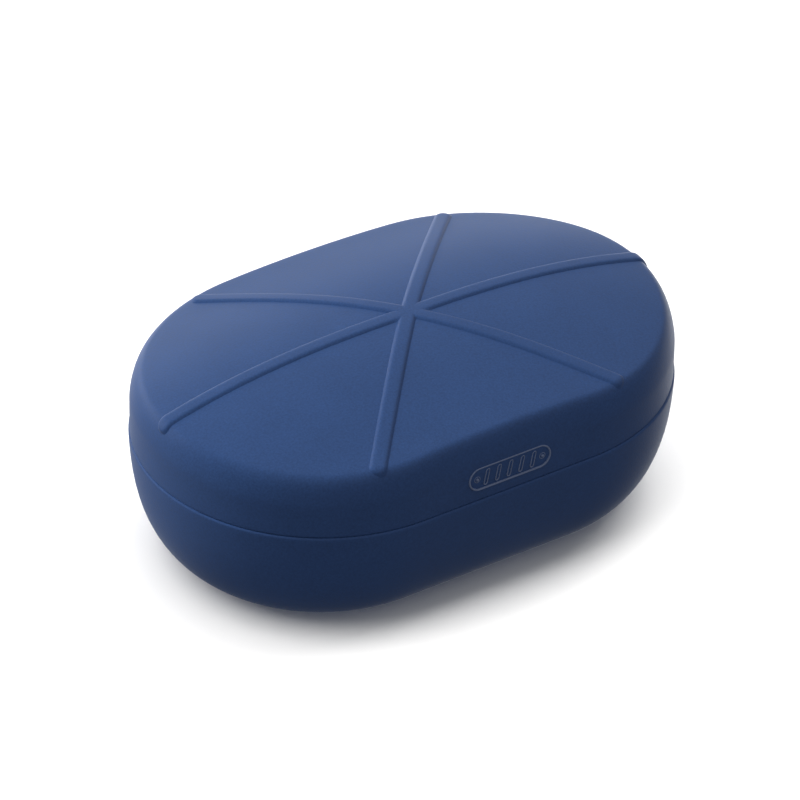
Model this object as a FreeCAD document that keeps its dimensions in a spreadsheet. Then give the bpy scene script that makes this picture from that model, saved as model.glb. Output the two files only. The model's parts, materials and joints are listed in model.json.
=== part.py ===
import FreeCAD, Part
import math
import os
import Sketcher

# Charging case for two wireless earbuds in a two-piece silicone sleeve, lid closed.
# Millimetres. +X is to the right, -Y is the front with the thumb grip, +Y is the hinge
# side, +Z is up. The origin is on the resting face, under the middle of the case.

SIZES = {
    # the sleeve: a stadium in plan, a bowl below, a crowned lid above
    "case_length": 66.0, "case_width": 43.5, "crown_top": 27.0,
    "crown_radius_along": 141.0, "crown_radius_across": 67.0, "lid_edge_round": 3.0,
    "foot_radius": 10.5, "wall_radius": 34.8,
    "lid_low": 15.55, "base_top": 15.25, "sleeve_wall": 1.8, "snug_gap": 0.05,
    "rib_width": 1.9, "rib_height": 0.4, "rib_angle": 49.6,
    "rib_reach": 25.6, "long_rib_reach": 32.4,
    "grip_length": 11.1, "grip_height": 3.06, "grip_level": 18.35, "grip_relief": 0.25,
    "grip_line": 0.3, "grip_bar_tall": 2.0, "grip_bar_wide": 0.38, "grip_bar_pitch": 1.55,
    "grip_bar_lean": 10.0, "grip_dot_place": 4.4, "grip_dot_radius": 0.35,
    # the hard case inside the sleeve
    "shell_wall": 1.5, "shell_lid_low": 15.45, "shell_base_top": 15.35,
    "liner_top": 19.9, "liner_roof": 1.0, "deck_top": 14.6, "deck_thick": 1.2,
    # the hinge at the back
    "hinge_back": 20.4, "hinge_level": 15.4, "knuckle_radius": 1.2, "pin_radius": 0.55,
    "pin_bore": 0.6, "hinge_length": 20.0, "knuckle_gap": 0.1, "leaf_back": 19.55,
    "leaf_thick": 0.6, "leaf_reach": 4.2, "leaf_start": 1.5, "window_length": 39.0,
    "window_low": 11.0, "window_high": 20.6, "hinge_clearance": 0.25,
    # the two earbud pockets
    "pocket_middle": 16.8, "pocket_radius": 8.6, "pocket_reach": 12.2, "pocket_floor": 7.4,
    "pocket_round": 3.6, "cup_wall": 1.0,
    # electronics
    "board_low": 3.9, "board_thick": 0.8, "board_middle": 9.5, "board_radius": 12.4,
    "battery_across": 13.2, "battery_along": 22.0, "battery_thick": 6.0,
    "battery_low": 5.4, "battery_front": -12.5,
    "usb_wide": 8.94, "usb_tall": 3.16, "usb_back": 17.7, "usb_deep": 7.3, "usb_wall": 0.3,
    "plug_wide": 12.4, "plug_tall": 6.6,
    "contact_place": 2.5, "barrel_radius": 0.9, "barrel_top": 7.3, "barrel_bore": 0.63,
    "neck_bore": 0.49, "neck_low": 6.9, "flange_radius": 0.6, "flange_thick": 0.6,
    "contact_radius": 0.45, "contact_tip": 8.2, "spring_low": 5.0, "spring_wire": 0.14,
    "button_radius": 2.5, "button_place": -3.0, "button_top": 14.85, "button_flange": 3.1,
    "light_place": 4.5, "light_radius": 0.8, "deck_board_low": 11.6, "deck_board_thick": 0.6,
    "magnet_place": -15.6,
}

doc = FreeCAD.newDocument("earbuds_case")
sheet = doc.addObject("Spreadsheet::Sheet", "Sizes")
for row, (alias, value) in enumerate(SIZES.items(), 1):
    sheet.set(f"A{row}", alias)
    sheet.set(f"B{row}", str(value))
    sheet.setAlias(f"B{row}", alias)
doc.recompute()

NODES = []


def value(expression):
    """The number that an expression on the sheet gives now."""
    result = sheet.evalExpression(expression)
    return float(getattr(result, "Value", result))


def node(shape_object, label):
    """Mark an object of the document as a finished piece."""
    shape_object.Label = label
    NODES.append(shape_object)
    return shape_object


# ---- sketches -----------------------------------------------------------------------

def new_sketch(body, role, name, lift="0", turn="0"):
    """A sketch on one of the body's own origin planes, lifted along the plane's normal."""
    sketch = body.newObject("Sketcher::SketchObject", name)
    origin_plane = [part for part in body.Origin.OriginFeatures if part.Role == role][0]
    sketch.AttachmentSupport = [(origin_plane, "")]
    sketch.MapMode = "FlatFace"
    sketch.setExpression(".AttachmentOffset.Base.z", lift)
    sketch.setExpression(".AttachmentOffset.Rotation.Angle", turn)
    return sketch


def outline(sketch, corners):
    """A closed outline, run anticlockwise. A corner is (x, y), or (x, y, radius) where the
    edge that leaves it is an arc that bulges outwards, or (x, y, radius, "hollow") where
    that arc bulges inwards. Each place is bound to its expression."""
    points = [FreeCAD.Vector(value(c[0]), value(c[1]), 0) for c in corners]
    count = len(corners)
    first = sketch.GeometryCount
    starts = []
    for index, corner in enumerate(corners):
        here, there = points[index], points[(index + 1) % count]
        if len(corner) == 2:
            sketch.addGeometry(Part.LineSegment(here, there), False)
            starts.append(1)
            continue
        hollow = len(corner) == 4
        radius = value(corner[2])
        chord = there.sub(here)
        outward = FreeCAD.Vector(chord.y, -chord.x, 0).normalize()
        sag = radius - math.sqrt(max(radius ** 2 - (chord.Length / 2) ** 2, 0))
        crest = (here + there) * 0.5 + outward * (-sag if hollow else sag)
        ends = (there, here) if hollow else (here, there)
        sketch.addGeometry(Part.Arc(ends[0], crest, ends[1]), False)
        starts.append(2 if hollow else 1)
    for index, corner in enumerate(corners):
        start = starts[index]
        after = (index + 1) % count
        edge = first + index
        sketch.addConstraint(
            Sketcher.Constraint("Coincident", edge, 3 - start, first + after, starts[after]))
        for kind, place in (("DistanceX", 0), ("DistanceY", 1)):
            number = sketch.addConstraint(
                Sketcher.Constraint(kind, -1, 1, edge, start, points[index][place]))
            sketch.setExpression(f"Constraints[{number}]", corner[place])
        if len(corner) > 2:
            number = sketch.addConstraint(Sketcher.Constraint("Radius", edge, value(corner[2])))
            sketch.setExpression(f"Constraints[{number}]", corner[2])
    return sketch


def circle(sketch, x, y, radius):
    """A circle whose place and radius are bound to their expressions."""
    centre = FreeCAD.Vector(value(x), value(y), 0)
    edge = sketch.addGeometry(
        Part.Circle(centre, FreeCAD.Vector(0, 0, 1), value(radius)), False)
    for kind, text, number in (("DistanceX", x, centre.x), ("DistanceY", y, centre.y)):
        index = sketch.addConstraint(Sketcher.Constraint(kind, -1, 1, edge, 3, number))
        sketch.setExpression(f"Constraints[{index}]", text)
    index = sketch.addConstraint(Sketcher.Constraint("Radius", edge, value(radius)))
    sketch.setExpression(f"Constraints[{index}]", radius)
    return sketch


def axis_line(sketch, start, end):
    """A construction line for a revolution or a groove, bound at both ends."""
    places = [FreeCAD.Vector(value(p[0]), value(p[1]), 0) for p in (start, end)]
    edge = sketch.addGeometry(Part.LineSegment(*places), True)
    for which, (point, place) in enumerate(zip((start, end), places), 1):
        for kind, axis in (("DistanceX", 0), ("DistanceY", 1)):
            index = sketch.addConstraint(
                Sketcher.Constraint(kind, -1, 1, edge, which, place[axis]))
            sketch.setExpression(f"Constraints[{index}]", point[axis])
    return (sketch, ["Axis0"])


def slot(x, y, half_length, radius, upright=False):
    """Corners of a slot that lies along the sketch's first axis, or stands along its second."""
    run = f"({half_length} - ({radius}))"
    corners = [
        (f"-{run}", f"-({radius})"), (run, f"-({radius})", radius),
        (half_length, "0", radius), (run, radius),
        (f"-{run}", radius, radius), (f"-({half_length})", "0", radius),
    ]
    if upright:
        corners = [(f"-({c[1]})",) + (c[0],) + c[2:] for c in corners]
    return [(f"{x} + {c[0]}", f"{y} + {c[1]}") + c[2:] for c in corners]


def block(x_low, y_low, x_high, y_high):
    """Corners of a rectangle."""
    return [(x_low, y_low), (x_high, y_low), (x_high, y_high), (x_low, y_high)]


# ---- features -----------------------------------------------------------------------

def new_body(name):
    return doc.addObject("PartDesign::Body", name)


def pad(body, sketch, length, symmetric=False, reverse=False):
    feature = body.newObject("PartDesign::Pad", "Pad")
    feature.Profile = sketch
    feature.SideType = "Symmetric" if symmetric else "One side"
    feature.Reversed = reverse
    feature.setExpression("Length", length)
    doc.recompute()
    return feature


def pocket(body, sketch, length, reverse=False, symmetric=False):
    """Cut a sketch out of the body, and stop if the cut takes nothing away."""
    doc.recompute()
    before = body.Shape.Volume
    feature = body.newObject("PartDesign::Pocket", "Pocket")
    feature.Profile = sketch
    feature.SideType = "Symmetric" if symmetric else "One side"
    feature.Reversed = reverse
    feature.setExpression("Length", length)
    doc.recompute()
    if body.Shape.Volume > before - 1e-6:
        raise RuntimeError(f"{body.Name}: the pocket cuts nothing")
    return feature


def fillet(body, edges, radius):
    """Round the edges of the body's last feature that the given test picks out."""
    doc.recompute()
    base = body.Tip
    names = [f"Edge{i}" for i, edge in enumerate(base.Shape.Edges, 1) if edges(edge)]
    feature = body.newObject("PartDesign::Fillet", "Fillet")
    feature.Base = (base, names)
    feature.setExpression("Radius", radius)
    doc.recompute()
    return feature


def box(label, low, high):
    """A block between two corners given as expressions."""
    solid = doc.addObject("Part::Box", label)
    for side, axis, near, far in zip(("Length", "Width", "Height"), "xyz", low, high):
        solid.setExpression(side, f"({far}) - ({near})")
        solid.setExpression(f"Placement.Base.{axis}", near)
    return solid


def cylinder(label, x, y, z, radius, height, along="z"):
    """A round bar that starts at x, y, z and runs up, back or to the right."""
    solid = doc.addObject("Part::Cylinder", label)
    turns = {"z": (0, 0, 1, 0), "y": (1, 0, 0, -90), "x": (0, 1, 0, 90)}
    turn = turns[along]
    solid.Placement.Rotation = FreeCAD.Rotation(FreeCAD.Vector(*turn[:3]), turn[3])
    solid.setExpression("Radius", radius)
    solid.setExpression("Height", height)
    for axis, text in zip("xyz", (x, y, z)):
        solid.setExpression(f"Placement.Base.{axis}", text)
    return solid


def fuse(label, shapes):
    joined = doc.addObject("Part::MultiFuse", label)
    joined.Shapes = shapes
    joined.Refine = True
    return joined


def cut(label, base, tools):
    """The base less the tools, one tool or several."""
    result = doc.addObject("Part::Cut", label)
    result.Base = base
    result.Tool = tools[0] if len(tools) == 1 else fuse(label + "_tools", tools)
    return result


# ---- the rounded form that sleeve and shells share ------------------------------------

SPINE = "((Sizes.case_length - Sizes.case_width) / 2)"
BOWL_SINE = "((Sizes.base_top - Sizes.foot_radius) / (Sizes.wall_radius - Sizes.foot_radius))"
BOWL_COSINE = f"sqrt(1 - {BOWL_SINE} ^ 2)"


def side_profile(inset, low, high, bowl):
    """The outer edge of a half section, from the foot to the rim: corners (out, up)."""
    half = f"Sizes.case_width / 2 - {inset}"
    if not bowl:
        return [(half, low), (half, high)]
    centre = "Sizes.case_width / 2 - Sizes.wall_radius"
    foot = f"{centre} + (Sizes.wall_radius - Sizes.foot_radius) * {BOWL_COSINE}"
    meet_out = f"{centre} + (Sizes.wall_radius - {inset}) * {BOWL_COSINE}"
    meet_up = f"Sizes.base_top - (Sizes.wall_radius - {inset}) * {BOWL_SINE}"
    profile = [
        (foot, inset, f"Sizes.foot_radius - {inset}"),
        (meet_out, meet_up, f"Sizes.wall_radius - {inset}"),
        (half, "Sizes.base_top"),
    ]
    if abs(value(high) - value("Sizes.base_top")) > 1e-9:
        profile.append((half, high))
    return profile


def rounded_form(name, inset, low, high, bowl=False, crown=False, edge_round=None):
    """A solid of the case's outer form, moved inwards by an even inset."""
    body = new_body(name)
    right = side_profile(inset, low, high, bowl)
    left = []
    for index, corner in enumerate(reversed(right)):
        before = right[len(right) - 2 - index] if index < len(right) - 1 else None
        place = (f"-({corner[0]})", corner[1])
        left.append(place + before[2:] if before else place)
    middle = outline(new_sketch(body, "YZ_Plane", name + "_section"), right + left)
    pad(body, middle, f"2 * {SPINE}", symmetric=True)
    end = new_sketch(body, "XZ_Plane", name + "_end")
    edge = [(f"{SPINE} + {c[0]}",) + tuple(c[1:]) for c in right]
    outline(end, [(SPINE, edge[0][1])] + edge + [(SPINE, edge[-1][1])])
    turned = body.newObject("PartDesign::Revolution", name + "_right_end")
    turned.Profile = end
    turned.ReferenceAxis = axis_line(end, (SPINE, "0"), (SPINE, "10"))
    turned.Angle = 360
    doc.recompute()
    other = body.newObject("PartDesign::Mirrored", name + "_left_end")
    other.Originals = [turned]
    other.MirrorPlane = (
        [part for part in body.Origin.OriginFeatures if part.Role == "YZ_Plane"][0], [""])
    body.Tip = other
    doc.recompute()
    if crown:
        add_crown(body, name, inset)
    if edge_round:
        reach = value(f"Sizes.case_width / 2 - {inset}")
        fillet(body, lambda edge: is_rim(edge, reach), edge_round)
    return body


def add_crown(body, name, inset):
    """Cut the top to a surface that is crowned both ways: an arc along the case, turned
    about a line under the crown."""
    sketch = new_sketch(body, "XZ_Plane", name + "_crown")
    radius = f"Sizes.crown_radius_along - {inset}"
    reach = "0.6 * Sizes.case_length"
    shoulder = (f"Sizes.crown_top - Sizes.crown_radius_along"
                f" + sqrt(({radius}) ^ 2 - ({reach}) ^ 2)")
    ceiling = "Sizes.crown_top + 8"
    outline(sketch, [(f"-({reach})", shoulder, radius, "hollow"), (reach, shoulder),
                     (reach, ceiling), (f"-({reach})", ceiling)])
    pivot = "Sizes.crown_top - Sizes.crown_radius_across"
    groove = body.newObject("PartDesign::Groove", name + "_crown_cut")
    groove.Profile = sketch
    groove.ReferenceAxis = axis_line(sketch, ("-10", pivot), ("10", pivot))
    groove.Midplane = True
    groove.Angle = 70
    doc.recompute()


def spine_distance(point):
    """How far a point is, in plan, from the straight spine between the two end centres."""
    return math.hypot(max(abs(point.x) - value(SPINE), 0), point.y)


def is_rim(edge, reach):
    """True for the edge where the upright wall meets the crown."""
    first, last = edge.FirstParameter, edge.LastParameter
    samples = [edge.valueAt(first + (last - first) * part) for part in (0.1, 0.5, 0.9)]
    along = samples[0].distanceToPoint(samples[2])
    level = abs(samples[0].z - samples[2].z) < 0.6 * along
    high = min(point.z for point in samples) > value("Sizes.crown_top") - 9
    return high and level and all(abs(spine_distance(p) - reach) < 0.01 for p in samples)


# ---- the sleeve ---------------------------------------------------------------------

def thumb_grip():
    """A raised slot-shaped line on the lid's front, with five leaning bars and two dots."""
    body = new_body("thumb_grip")
    front = "Sizes.case_width / 2 - 0.2"
    sketch = new_sketch(body, "XZ_Plane", "grip_relief", lift=front)
    length, tall = "Sizes.grip_length / 2", "Sizes.grip_height / 2"
    level = "Sizes.grip_level"
    outline(sketch, slot("0", level, length, tall))
    outline(sketch, slot("0", level, f"{length} - Sizes.grip_line", f"{tall} - Sizes.grip_line"))
    shift = "Sizes.grip_bar_tall / 2 * tan(Sizes.grip_bar_lean * 1 deg)"
    half, up = "Sizes.grip_bar_wide / 2", "Sizes.grip_bar_tall / 2"
    for step in range(-2, 3):
        middle = f"{step} * Sizes.grip_bar_pitch"
        outline(sketch, [
            (f"{middle} - {half} - {shift}", f"{level} - {up}"),
            (f"{middle} + {half} - {shift}", f"{level} - {up}"),
            (f"{middle} + {half} + {shift}", f"{level} + {up}"),
            (f"{middle} - {half} + {shift}", f"{level} + {up}"),
        ])
    for side in (-1, 1):
        circle(sketch, f"{side} * Sizes.grip_dot_place", level, "Sizes.grip_dot_radius")
    pad(body, sketch, "Sizes.grip_relief + 0.2")
    return body


def lid_ribs():
    """Three low bars that cross in the middle of the lid: six ribs with a crowned top."""
    body = new_body("lid_ribs")
    arms = [("0", "Sizes.long_rib_reach")]
    arms += [(f"{sign} * Sizes.rib_angle", "Sizes.rib_reach") for sign in (1, -1)]
    for number, (turn, reach) in enumerate(arms):
        sketch = new_sketch(body, "XY_Plane", f"rib_{number}", lift="Sizes.lid_low + 4", turn=turn)
        outline(sketch, slot("0", "0", reach, "Sizes.rib_width / 2"))
        pad(body, sketch, "Sizes.crown_top - Sizes.lid_low - 2")
    form = rounded_form("rib_form", "(-Sizes.rib_height)", "Sizes.lid_low", "Sizes.crown_top + 2",
                        crown=True, edge_round="Sizes.lid_edge_round + Sizes.rib_height")
    ribs = doc.addObject("Part::Common", "ribs")
    ribs.Base = body
    ribs.Tool = form
    return ribs


def hinge_window(name, low, high):
    """The opening in the back of the sleeve that leaves the hinge bare."""
    half = "Sizes.window_length / 2"
    return box(name, (f"-{half}", "12", low), (half, "Sizes.case_width / 2 + 2", high))


def lid_sleeve():
    outer = rounded_form("lid_sleeve_outer", "0", "Sizes.lid_low", "Sizes.crown_top + 2",
                         crown=True, edge_round="Sizes.lid_edge_round")
    inner = rounded_form("lid_sleeve_inner", "Sizes.sleeve_wall", "Sizes.lid_low - 2",
                         "Sizes.crown_top + 2", crown=True,
                         edge_round="Sizes.lid_edge_round - Sizes.sleeve_wall")
    whole = fuse("lid_sleeve_whole", [outer, lid_ribs(), thumb_grip()])
    window = hinge_window("lid_window", "Sizes.lid_low - 1", "Sizes.window_high")
    node(cut("lid_sleeve_cut", whole, [inner, window]), "lid_sleeve")


def base_sleeve():
    outer = rounded_form("base_sleeve_outer", "0", "0", "Sizes.base_top", bowl=True)
    inner = rounded_form("base_sleeve_inner", "Sizes.sleeve_wall", "0", "Sizes.base_top + 2",
                         bowl=True)
    window = hinge_window("base_window", "Sizes.window_low", "Sizes.base_top + 1")
    hole = new_body("plug_hole")
    sketch = new_sketch(hole, "XZ_Plane", "plug_outline", lift="-Sizes.case_width / 2 - 2")
    outline(sketch, slot("0", USB_LEVEL, "Sizes.plug_wide / 2", "Sizes.plug_tall / 2"))
    pad(hole, sketch, "12")
    node(cut("base_sleeve_cut", outer, [inner, window, hole]), "base_sleeve")


# ---- the hard shells and the lid's liner ------------------------------------------------

SHELL = "(Sizes.sleeve_wall + Sizes.snug_gap)"
SHELL_INNER = f"({SHELL} + Sizes.shell_wall)"
LINER = f"({SHELL_INNER} + Sizes.snug_gap)"
DECK = f"({SHELL_INNER} + 3 * Sizes.snug_gap)"
BOARD_TOP = "(Sizes.board_low + Sizes.board_thick)"
USB_LEVEL = f"({BOARD_TOP} + Sizes.usb_tall / 2)"
SCREW_PLACES = [(x, y) for x in (-9.0, 9.0) for y in (-9.5, 9.5)]
POCKET_SIDES = (-1, 1)


def hinge_recess(name, low, high):
    """Room in a shell's back wall for a hinge leaf and for the turning knuckles."""
    half = "(Sizes.hinge_length / 2 + 0.2)"
    leaf = box(name + "_leaf", (f"-{half}", "Sizes.leaf_back - Sizes.leaf_thick", low),
               (half, "Sizes.case_width / 2", high))
    knuckles = cylinder(name + "_knuckles", f"-{half}", "Sizes.hinge_back", "Sizes.hinge_level",
                        "Sizes.knuckle_radius + Sizes.hinge_clearance", f"2 * {half}", along="x")
    return [leaf, knuckles]


def lid_shell():
    outer = rounded_form("lid_shell_outer", SHELL, "Sizes.shell_lid_low", "Sizes.crown_top + 2",
                         crown=True, edge_round=f"Sizes.lid_edge_round - {SHELL}")
    inner = rounded_form("lid_shell_inner", SHELL_INNER, "Sizes.shell_lid_low - 2",
                         "Sizes.crown_top + 2", crown=True)
    recess = hinge_recess("lid_recess", "Sizes.hinge_level - 1",
                          "Sizes.hinge_level + Sizes.leaf_reach + 0.1")
    node(cut("lid_shell_cut", outer, [inner] + recess), "lid_shell")


def lid_liner():
    """The moulding inside the lid: two shallow hollows over the earbuds, a magnet slot."""
    body = new_body("lid_liner_body")
    ring = new_sketch(body, "XY_Plane", "liner_outline", lift="Sizes.shell_lid_low")
    outline(ring, slot("0", "0", f"Sizes.case_length / 2 - {LINER}",
                       f"Sizes.case_width / 2 - {LINER}"))
    pad(body, ring, "Sizes.liner_top - Sizes.shell_lid_low")
    hollows = new_sketch(body, "XY_Plane", "liner_hollows", lift="Sizes.shell_lid_low")
    for side in POCKET_SIDES:
        outline(hollows, slot(f"{side} * Sizes.pocket_middle", "0", "Sizes.pocket_reach + 0.4",
                              "Sizes.pocket_radius + 0.4", upright=True))
    pocket(body, hollows, "Sizes.liner_top - Sizes.liner_roof - Sizes.shell_lid_low", reverse=True)
    ceiling = value("Sizes.liner_top - Sizes.liner_roof")
    fillet(body, lambda edge: lies_at(edge, ceiling), "2.4")
    magnet = new_sketch(body, "XY_Plane", "liner_magnet_slot", lift="Sizes.liner_top")
    outline(magnet, block("-4.1", "Sizes.magnet_place - 1.6", "4.1", "Sizes.magnet_place + 1.6"))
    pocket(body, magnet, "Sizes.liner_top - Sizes.shell_lid_low - 0.5")
    node(body, "lid_liner")


def lies_at(edge, height):
    """True for an edge that lies flat at the given height."""
    return abs(edge.BoundBox.ZMin - height) < 1e-3 and abs(edge.BoundBox.ZMax - height) < 1e-3


def base_shell():
    outer = rounded_form("base_shell_outer", SHELL, "0", "Sizes.shell_base_top", bowl=True)
    inner = rounded_form("base_shell_inner", SHELL_INNER, "0", "Sizes.shell_base_top + 2",
                         bowl=True)
    recess = hinge_recess("base_recess", "Sizes.hinge_level - Sizes.leaf_reach - 0.1",
                          "Sizes.hinge_level + 1")
    slit = new_body("usb_slit")
    sketch = new_sketch(slit, "XZ_Plane", "usb_slit_outline", lift="-Sizes.case_width / 2")
    outline(sketch, slot("0", USB_LEVEL, "Sizes.usb_wide / 2 + 0.15",
                         "Sizes.usb_tall / 2 + 0.15"))
    pad(slit, sketch, "Sizes.case_width / 2 - 14")
    hollow = cut("base_shell_hollow", outer, [inner, slit] + recess)
    floor = f"({SHELL_INNER} - 0.5)"
    posts = [cylinder("post", str(x), str(y), floor, "1.6", f"Sizes.board_low - {floor}")
             for x, y in SCREW_PLACES]
    holes = [cylinder("thread", str(x), str(y), "2.3", "0.62", "Sizes.board_low - 2.2")
             for x, y in SCREW_PLACES]
    node(cut("base_shell_cut", fuse("base_shell_posts", [hollow] + posts), holes), "base_shell")


# ---- the hinge ------------------------------------------------------------------------

KNUCKLE_EDGES = (-10.0, -6.0, -2.0, 2.0, 6.0, 10.0)


def hinge_leaf(label, first_knuckle, upwards):
    """A leaf plate with knuckles: three on the base leaf, two between them on the lid's."""
    sign = "1" if upwards else "-1"
    near, far = "Sizes.leaf_back - Sizes.leaf_thick", "Sizes.leaf_back"
    levels = [f"Sizes.hinge_level + {sign} * {step}"
              for step in ("Sizes.leaf_reach", "Sizes.leaf_start")]
    low, high = levels if not upwards else levels[::-1]
    half = "Sizes.hinge_length / 2"
    parts = [box(label + "_plate", (f"-{half}", near, low), (half, far, high))]
    bores = []
    for index in range(first_knuckle, len(KNUCKLE_EDGES) - 1, 2):
        left = f"({KNUCKLE_EDGES[index]} + Sizes.knuckle_gap / 2)"
        right = f"({KNUCKLE_EDGES[index + 1]} - Sizes.knuckle_gap / 2)"
        inner = f"Sizes.hinge_level + {sign} * (Sizes.leaf_start + 0.2)"
        ends = (inner, "Sizes.hinge_level") if not upwards else ("Sizes.hinge_level", inner)
        parts.append(box(label + "_arm", (left, near, ends[0]), (right, far, ends[1])))
        for name, radius, group in (("_knuckle", "Sizes.knuckle_radius", parts),
                                    ("_bore", "Sizes.pin_bore", bores)):
            group.append(cylinder(label + name, left, "Sizes.hinge_back", "Sizes.hinge_level",
                                  radius, f"{right} - {left}", along="x"))
    node(cut(label + "_cut", fuse(label + "_whole", parts), bores), label)


def hinge_pin():
    half = "(Sizes.hinge_length / 2 + 0.1)"
    rod = cylinder("hinge_rod", f"-{half}", "Sizes.hinge_back", "Sizes.hinge_level",
                   "Sizes.pin_radius", f"2 * {half}", along="x")
    node(rod, "hinge_pin")


# ---- the tray that holds the earbuds ------------------------------------------------------

CONTACT_PLACES = [(side, way) for side in POCKET_SIDES for way in (-1, 1)]


def cup_form(name, top, low, grow, edge_round):
    """Two upright slots with a rounded bottom, from a top level down to a low one."""
    body = new_body(name)
    slots = new_sketch(body, "XY_Plane", name + "_outlines", lift=top)
    for side in POCKET_SIDES:
        outline(slots, slot(f"{side} * Sizes.pocket_middle", "0", f"Sizes.pocket_reach + {grow}",
                            f"Sizes.pocket_radius + {grow}", upright=True))
    pad(body, slots, f"({top}) - ({low})", reverse=True)
    bottom = value(low)
    fillet(body, lambda edge: lies_at(edge, bottom), edge_round)
    return body


def earbud_tray():
    """A deck with two round-bottomed cups, holes for contacts, button and light."""
    body = new_body("tray_deck")
    under = "(Sizes.deck_top - Sizes.deck_thick)"
    deck = new_sketch(body, "XY_Plane", "deck_outline", lift=under)
    outline(deck, slot("0", "0", f"Sizes.case_length / 2 - {DECK}",
                       f"Sizes.case_width / 2 - {DECK}"))
    pad(body, deck, "Sizes.deck_thick")
    posts = new_sketch(body, "XY_Plane", "deck_board_posts", lift=under)
    for x in ("-4.2", "4.2"):
        for y in ("-9.5", "7.2"):
            circle(posts, x, y, "0.7")
    pad(body, posts, f"{under} - Sizes.deck_board_low - Sizes.deck_board_thick", reverse=True)
    cups = cup_form("cups", "Sizes.deck_top", "Sizes.pocket_floor - Sizes.cup_wall",
                    "Sizes.cup_wall", "Sizes.pocket_round + Sizes.cup_wall")
    pockets = cup_form("pockets", "Sizes.deck_top + 1", "Sizes.pocket_floor", "0",
                       "Sizes.pocket_round")
    tools = [pockets]
    tools.append(cylinder("button_hole", "0", "Sizes.button_place", "Sizes.deck_board_low",
                          "Sizes.button_radius + 0.1", "5"))
    tools.append(cylinder("light_hole", "0", "Sizes.light_place", "Sizes.deck_board_low",
                          "Sizes.light_radius + 0.05", "5"))
    for side, way in CONTACT_PLACES:
        tools.append(cylinder("contact_hole", f"{side} * Sizes.pocket_middle",
                              f"{way} * Sizes.contact_place", "Sizes.board_low",
                              "Sizes.barrel_radius + 0.1", "6"))
    node(cut("tray_cut", fuse("tray_whole", [body, cups]), tools), "earbud_tray")


# ---- magnets ------------------------------------------------------------------------------

def closure_magnet(label, low):
    place = "Sizes.magnet_place"
    node(box(label, ("-4", f"{place} - 1.5", low), ("4", f"{place} + 1.5", f"{low} + 1.6")), label)


def earbud_magnets():
    low = "Sizes.pocket_floor - Sizes.cup_wall - 1.2"
    discs = [cylinder("earbud_magnet", f"{side} * Sizes.pocket_middle", f"{way} * 6.2", low,
                      "2", "1.2") for side, way in CONTACT_PLACES]
    node(fuse("earbud_magnet_set", discs), "earbud_magnets")


# ---- electronics ----------------------------------------------------------------------------

def main_board():
    body = new_body("main_board_body")
    sheet_outline = new_sketch(body, "XY_Plane", "board_outline", lift="Sizes.board_low")
    outline(sheet_outline, slot("0", "0", "Sizes.board_middle + Sizes.board_radius",
                                "Sizes.board_radius"))
    pad(body, sheet_outline, "Sizes.board_thick")
    holes = new_sketch(body, "XY_Plane", "board_holes", lift=BOARD_TOP)
    for x, y in SCREW_PLACES:
        circle(holes, str(x), str(y), "0.7")
    pocket(body, holes, "Sizes.board_thick + 1")
    node(body, "main_board")


def board_chips():
    """The larger parts soldered on the board: (x, y, length, width, height)."""
    chips = [(10.5, 0.0, 4.0, 4.0, 0.8), (-10.6, 0.6, 3.0, 3.0, 0.7), (-10.6, 5.0, 2.2, 2.0, 1.0),
             (10.4, 5.0, 2.0, 1.6, 0.9)]
    chips += [(-11.6 + 1.3 * step, -4.2, 0.6, 1.0, 0.5) for step in range(4)]
    chips += [(8.6 + 1.3 * step, -4.2, 0.6, 1.0, 0.5) for step in range(4)]
    parts = []
    for x, y, long, wide, tall in chips:
        parts.append(box("chip", (str(x - long / 2), str(y - wide / 2), BOARD_TOP),
                         (str(x + long / 2), str(y + wide / 2), f"{BOARD_TOP} + {tall}")))
    node(fuse("chip_set", parts), "board_chips")


def board_screws():
    screws = []
    for x, y in SCREW_PLACES:
        head = cylinder("screw_head", str(x), str(y), BOARD_TOP, "1.1", "0.5")
        shank = cylinder("screw_shank", str(x), str(y), "2.5", "0.6", f"{BOARD_TOP} - 2.4")
        socket = cylinder("screw_socket", str(x), str(y), f"{BOARD_TOP} + 0.2", "0.45", "0.4")
        screws.append(cut("screw", fuse("screw_whole", [head, shank]), [socket]))
    node(fuse("screw_set", screws), "board_screws")


def battery():
    half = "Sizes.battery_across / 2"
    back = "Sizes.battery_front + Sizes.battery_along"
    body = new_body("battery_body")
    face = new_sketch(body, "XY_Plane", "battery_outline", lift="Sizes.battery_low")
    outline(face, block(f"-{half}", "Sizes.battery_front", half, back))
    pad(body, face, "Sizes.battery_thick")
    fillet(body, lambda edge: abs(edge.tangentAt(edge.FirstParameter).y) > 0.9, "1.2")
    node(body, "battery_cell")
    foam = box("battery_foam", ("-5.4", "-10.4", BOARD_TOP), ("5.4", "7.4", "Sizes.battery_low"))
    node(foam, "battery_pad")


def strap(name, x_low, x_high, front, low_end, high_end, top, thick):
    """A thin strip that lies on the board, climbs and turns back over a level."""
    x = (str(x_low), str(x_high))
    boxes = [
        ((x[0], front, BOARD_TOP), (x[1], low_end, f"{BOARD_TOP} + {thick}")),
        ((x[0], front, BOARD_TOP), (x[1], f"{front} + {thick}", f"{top} + {thick}")),
        ((x[0], front, top), (x[1], high_end, f"{top} + {thick}")),
    ]
    return fuse(name, [box(name + "_leg", low, high) for low, high in boxes])


def straps():
    ribbon = strap("ribbon", -2.0, 2.0, "Sizes.battery_front - 0.8", "-11.6", "-11.0",
                   "(Sizes.deck_board_low + Sizes.deck_board_thick)", 0.15)
    node(ribbon, "deck_ribbon")
    tabs = [strap("tab", low, low + 1.8, "Sizes.battery_front - 0.4", "-11.9",
                  "Sizes.battery_front", "8.5", 0.12) for low in (-5.0, 3.2)]
    node(fuse("tab_pair", tabs), "battery_tabs")


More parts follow.
